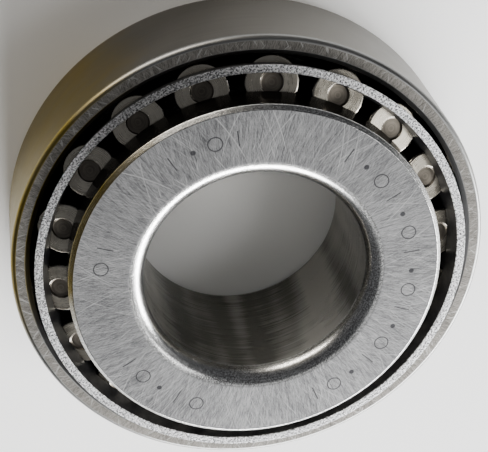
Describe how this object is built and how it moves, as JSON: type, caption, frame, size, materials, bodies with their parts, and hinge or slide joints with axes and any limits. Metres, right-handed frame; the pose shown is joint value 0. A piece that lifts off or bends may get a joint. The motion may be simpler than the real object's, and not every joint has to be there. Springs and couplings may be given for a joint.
{
  "type": "tapered roller bearing",
  "caption": "Single-row tapered roller bearing: inner ring with guide ribs, outer ring, pressed steel cage and tapered rollers, all turning about one axis.",
  "frame": {"origin": "centre of the outer ring's back face, on the bearing's axis", "axes": "+Z along the bearing's axis towards the wide back face of the inner ring; roller_01 lies in the +X direction"},
  "size_m": [0.0888, 0.0888, 0.0302],
  "materials": {
    "ring_steel": "hardened bearing steel, ground, thin oil film",
    "cage_steel": "pressed mild steel sheet, matt with a bright sheared rim",
    "roller_steel": "hardened bearing steel, fine ground"
  },
  "bodies": {
    "outer_ring": {"outer_ring": "ring_steel"},
    "inner_ring": {"inner_ring": "ring_steel"},
    "cage": {"cage": "cage_steel"},
    "roller_01": {"roller_01": "roller_steel"},
    "roller_02": {"roller_02": "roller_steel"},
    "roller_03": {"roller_03": "roller_steel"},
    "roller_04": {"roller_04": "roller_steel"},
    "roller_05": {"roller_05": "roller_steel"},
    "roller_06": {"roller_06": "roller_steel"},
    "roller_07": {"roller_07": "roller_steel"},
    "roller_08": {"roller_08": "roller_steel"},
    "roller_09": {"roller_09": "roller_steel"},
    "roller_10": {"roller_10": "roller_steel"},
    "roller_11": {"roller_11": "roller_steel"},
    "roller_12": {"roller_12": "roller_steel"},
    "roller_13": {"roller_13": "roller_steel"},
    "roller_14": {"roller_14": "roller_steel"},
    "roller_15": {"roller_15": "roller_steel"},
    "roller_16": {"roller_16": "roller_steel"},
    "roller_17": {"roller_17": "roller_steel"},
    "roller_18": {"roller_18": "roller_steel"}
  },
  "joints": [
    {"name": "inner_ring_spin", "type": "hinge", "parent": "outer_ring", "child": "inner_ring", "pos_m": [0, 0, 0.015], "axis": [0, 0, 1], "continuous": true},
    {"name": "cage_spin", "type": "hinge", "parent": "outer_ring", "child": "cage", "pos_m": [0, 0, 0.015], "axis": [0, 0, 1], "continuous": true},
    {"name": "roller_01_spin", "type": "hinge", "parent": "cage", "child": "roller_01", "pos_m": [0.0329, 0, 0.01372], "axis": [0.3023, 0, 0.9532], "continuous": true},
    {"name": "roller_02_spin", "type": "hinge", "parent": "cage", "child": "roller_02", "pos_m": [0.03091, 0.01125, 0.01372], "axis": [0.2841, 0.1034, 0.9532], "continuous": true},
    {"name": "roller_03_spin", "type": "hinge", "parent": "cage", "child": "roller_03", "pos_m": [0.0252, 0.02115, 0.01372], "axis": [0.2316, 0.1943, 0.9532], "continuous": true},
    {"name": "roller_04_spin", "type": "hinge", "parent": "cage", "child": "roller_04", "pos_m": [0.01645, 0.02849, 0.01372], "axis": [0.1511, 0.2618, 0.9532], "continuous": true},
    {"name": "roller_05_spin", "type": "hinge", "parent": "cage", "child": "roller_05", "pos_m": [0.00571, 0.0324, 0.01372], "axis": [0.0525, 0.2977, 0.9532], "continuous": true},
    {"name": "roller_06_spin", "type": "hinge", "parent": "cage", "child": "roller_06", "pos_m": [-0.00571, 0.0324, 0.01372], "axis": [-0.0525, 0.2977, 0.9532], "continuous": true},
    {"name": "roller_07_spin", "type": "hinge", "parent": "cage", "child": "roller_07", "pos_m": [-0.01645, 0.02849, 0.01372], "axis": [-0.1511, 0.2618, 0.9532], "continuous": true},
    {"name": "roller_08_spin", "type": "hinge", "parent": "cage", "child": "roller_08", "pos_m": [-0.0252, 0.02115, 0.01372], "axis": [-0.2316, 0.1943, 0.9532], "continuous": true},
    {"name": "roller_09_spin", "type": "hinge", "parent": "cage", "child": "roller_09", "pos_m": [-0.03091, 0.01125, 0.01372], "axis": [-0.2841, 0.1034, 0.9532], "continuous": true},
    {"name": "roller_10_spin", "type": "hinge", "parent": "cage", "child": "roller_10", "pos_m": [-0.0329, 0, 0.01372], "axis": [-0.3023, 0, 0.9532], "continuous": true},
    {"name": "roller_11_spin", "type": "hinge", "parent": "cage", "child": "roller_11", "pos_m": [-0.03091, -0.01125, 0.01372], "axis": [-0.2841, -0.1034, 0.9532], "continuous": true},
    {"name": "roller_12_spin", "type": "hinge", "parent": "cage", "child": "roller_12", "pos_m": [-0.0252, -0.02115, 0.01372], "axis": [-0.2316, -0.1943, 0.9532], "continuous": true},
    {"name": "roller_13_spin", "type": "hinge", "parent": "cage", "child": "roller_13", "pos_m": [-0.01645, -0.02849, 0.01372], "axis": [-0.1511, -0.2618, 0.9532], "continuous": true},
    {"name": "roller_14_spin", "type": "hinge", "parent": "cage", "child": "roller_14", "pos_m": [-0.00571, -0.0324, 0.01372], "axis": [-0.0525, -0.2977, 0.9532], "continuous": true},
    {"name": "roller_15_spin", "type": "hinge", "parent": "cage", "child": "roller_15", "pos_m": [0.00571, -0.0324, 0.01372], "axis": [0.0525, -0.2977, 0.9532], "continuous": true},
    {"name": "roller_16_spin", "type": "hinge", "parent": "cage", "child": "roller_16", "pos_m": [0.01645, -0.02849, 0.01372], "axis": [0.1511, -0.2618, 0.9532], "continuous": true},
    {"name": "roller_17_spin", "type": "hinge", "parent": "cage", "child": "roller_17", "pos_m": [0.0252, -0.02115, 0.01372], "axis": [0.2316, -0.1943, 0.9532], "continuous": true},
    {"name": "roller_18_spin", "type": "hinge", "parent": "cage", "child": "roller_18", "pos_m": [0.03091, -0.01125, 0.01372], "axis": [0.2841, -0.1034, 0.9532], "continuous": true}
  ],
  "couplings": [
    {"joint": "cage_spin", "follows": "inner_ring_spin", "ratio": 0.43378},
    {"joint": "roller_01_spin", "follows": "inner_ring_spin", "ratio": -3.5354},
    {"joint": "roller_02_spin", "follows": "inner_ring_spin", "ratio": -3.5354},
    {"joint": "roller_03_spin", "follows": "inner_ring_spin", "ratio": -3.5354},
    {"joint": "roller_04_spin", "follows": "inner_ring_spin", "ratio": -3.5354},
    {"joint": "roller_05_spin", "follows": "inner_ring_spin", "ratio": -3.5354},
    {"joint": "roller_06_spin", "follows": "inner_ring_spin", "ratio": -3.5354},
    {"joint": "roller_07_spin", "follows": "inner_ring_spin", "ratio": -3.5354},
    {"joint": "roller_08_spin", "follows": "inner_ring_spin", "ratio": -3.5354},
    {"joint": "roller_09_spin", "follows": "inner_ring_spin", "ratio": -3.5354},
    {"joint": "roller_10_spin", "follows": "inner_ring_spin", "ratio": -3.5354},
    {"joint": "roller_11_spin", "follows": "inner_ring_spin", "ratio": -3.5354},
    {"joint": "roller_12_spin", "follows": "inner_ring_spin", "ratio": -3.5354},
    {"joint": "roller_13_spin", "follows": "inner_ring_spin", "ratio": -3.5354},
    {"joint": "roller_14_spin", "follows": "inner_ring_spin", "ratio": -3.5354},
    {"joint": "roller_15_spin", "follows": "inner_ring_spin", "ratio": -3.5354},
    {"joint": "roller_16_spin", "follows": "inner_ring_spin", "ratio": -3.5354},
    {"joint": "roller_17_spin", "follows": "inner_ring_spin", "ratio": -3.5354},
    {"joint": "roller_18_spin", "follows": "inner_ring_spin", "ratio": -3.5354}
  ]
}
